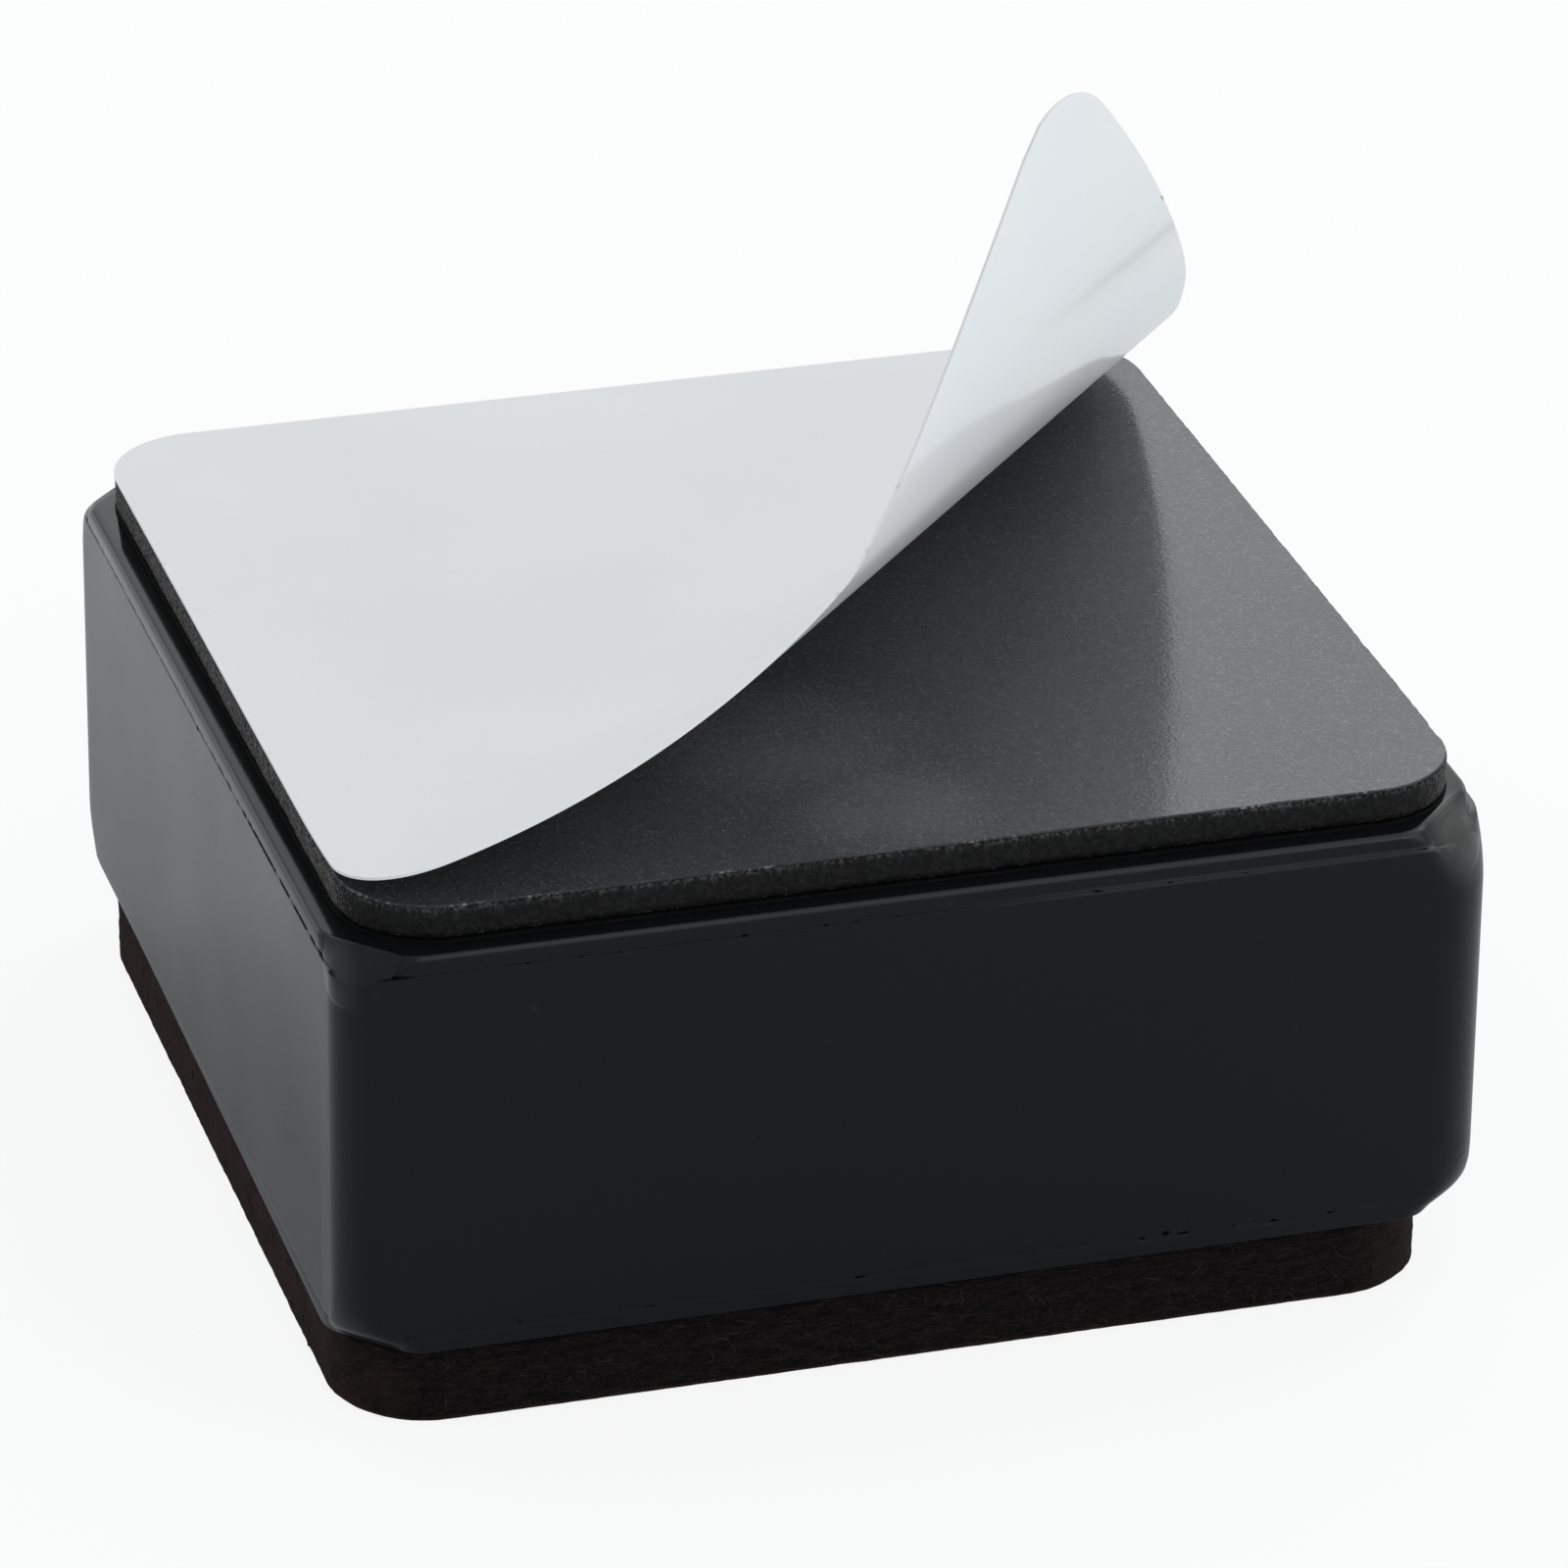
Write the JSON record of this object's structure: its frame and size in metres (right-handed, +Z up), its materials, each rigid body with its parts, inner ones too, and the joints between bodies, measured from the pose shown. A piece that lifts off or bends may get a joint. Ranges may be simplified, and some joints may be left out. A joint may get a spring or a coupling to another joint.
{
  "type": "furniture riser",
  "caption": "Square welded steel block that raises a furniture leg, with a foam adhesive pad on top under a half-peeled paper liner and a felt pad below that protects the floor.",
  "frame": {"origin": "centre of the block's footprint, on the floor under the felt", "axes": "+Z up, -Y towards the pictured front face, +X to the right; the liner is peeled from the +X -Y corner"},
  "size_m": [0.06, 0.06, 0.0607],
  "materials": {
    "black_paint": "satin gloss black paint over welded steel",
    "bare_steel": "bare mill finish",
    "foam": "matte open-cell foam",
    "adhesive": "glossy tacky film",
    "felt": "pressed fibres",
    "liner_paper": "smooth coated paper"
  },
  "bodies": {
    "riser": {"top_adhesive": "adhesive", "foam_pad": "foam", "foam_bond": "adhesive", "top_plate": "black_paint", "tube_wall": "black_paint", "bottom_plate": "black_paint", "rib_across": "bare_steel", "rib_along": "bare_steel", "top_weld_front_left": "black_paint", "top_weld_front_right": "black_paint", "top_weld_back_right": "black_paint", "top_weld_back_left": "black_paint", "bottom_weld_front_left": "black_paint", "bottom_weld_front_right": "black_paint", "bottom_weld_back_right": "black_paint", "bottom_weld_back_left": "black_paint", "felt_bond": "adhesive", "felt_pad": "felt"},
    "liner": {"liner_sheet": "liner_paper"},
    "flap": {"liner_flap": "liner_paper"}
  },
  "joints": [
    {"name": "liner_lift_off", "type": "slide", "parent": "riser", "child": "liner", "axis": [0, 0, 1], "range_m": [0, 0.04]},
    {"name": "flap_peel", "type": "hinge", "parent": "liner", "child": "flap", "pos_m": [-0.00521, 0.0054, 0.0289], "axis": [-0.7193, -0.6947, 0], "range_deg": [0, 120]}
  ]
}
